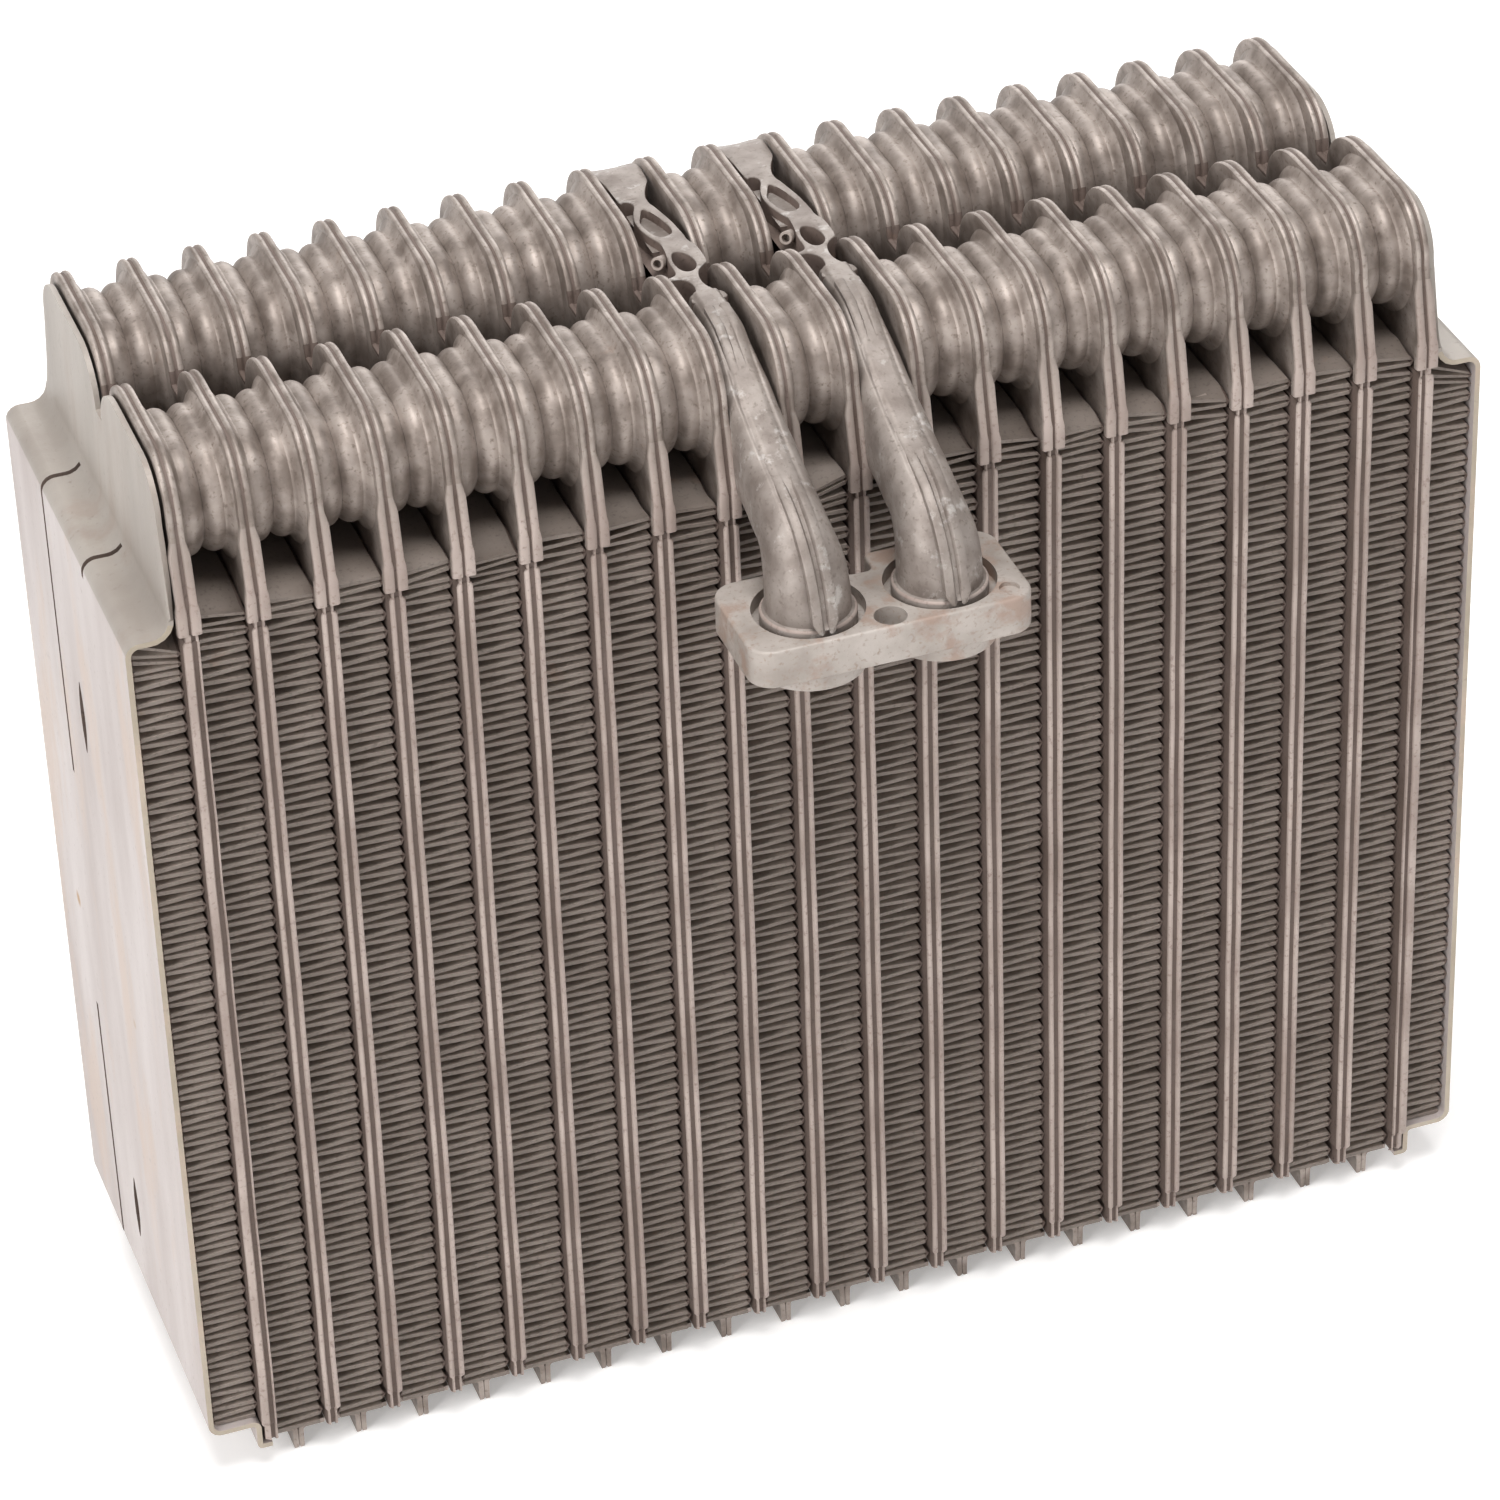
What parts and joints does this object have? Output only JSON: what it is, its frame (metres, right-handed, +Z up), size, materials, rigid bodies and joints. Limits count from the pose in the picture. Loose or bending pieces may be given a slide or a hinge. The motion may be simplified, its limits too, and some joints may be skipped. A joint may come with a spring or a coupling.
{
  "type": "evaporator core",
  "caption": "Brazed plate-and-fin evaporator core with two rows of ribbed tanks on top and two curved pipes ending in a flanged connection block.",
  "frame": {"origin": "on the ground under the middle of the overall box, the tanks on top", "axes": "+X along the stack of tubes, -Y towards the face with the pipes, +Z up"},
  "size_m": [0.2504, 0.1204, 0.2138],
  "materials": {
    "tube_aluminium": "matt brazed",
    "fin_aluminium": "matt brazed",
    "plate_aluminium": "matt",
    "duct_aluminium": "matt brazed",
    "block_aluminium": "satin"
  },
  "bodies": {
    "root": {"tube_01": "tube_aluminium", "tube_02": "tube_aluminium", "tube_03": "tube_aluminium", "tube_04": "tube_aluminium", "tube_05": "tube_aluminium", "tube_06": "tube_aluminium", "tube_07": "tube_aluminium", "tube_08": "tube_aluminium", "tube_09": "tube_aluminium", "tube_10": "tube_aluminium", "tube_11": "tube_aluminium", "tube_12": "tube_aluminium", "tube_13": "tube_aluminium", "tube_14": "tube_aluminium", "tube_15": "tube_aluminium", "tube_16": "tube_aluminium", "tube_17": "tube_aluminium", "tube_18": "tube_aluminium", "tube_19": "tube_aluminium", "tube_20": "tube_aluminium", "fin_01": "fin_aluminium", "fin_02": "fin_aluminium", "fin_03": "fin_aluminium", "fin_04": "fin_aluminium", "fin_05": "fin_aluminium", "fin_06": "fin_aluminium", "fin_07": "fin_aluminium", "fin_08": "fin_aluminium", "fin_09": "fin_aluminium", "fin_10": "fin_aluminium", "fin_11": "fin_aluminium", "fin_12": "fin_aluminium", "fin_13": "fin_aluminium", "fin_14": "fin_aluminium", "fin_15": "fin_aluminium", "fin_16": "fin_aluminium", "fin_17": "fin_aluminium", "fin_18": "fin_aluminium", "fin_19": "fin_aluminium", "fin_left_end": "fin_aluminium", "fin_right_end": "fin_aluminium", "side_plate_left": "plate_aluminium", "side_plate_right": "plate_aluminium", "duct_left": "duct_aluminium", "duct_right": "duct_aluminium", "connection_block": "block_aluminium"}
  },
  "joints": []
}
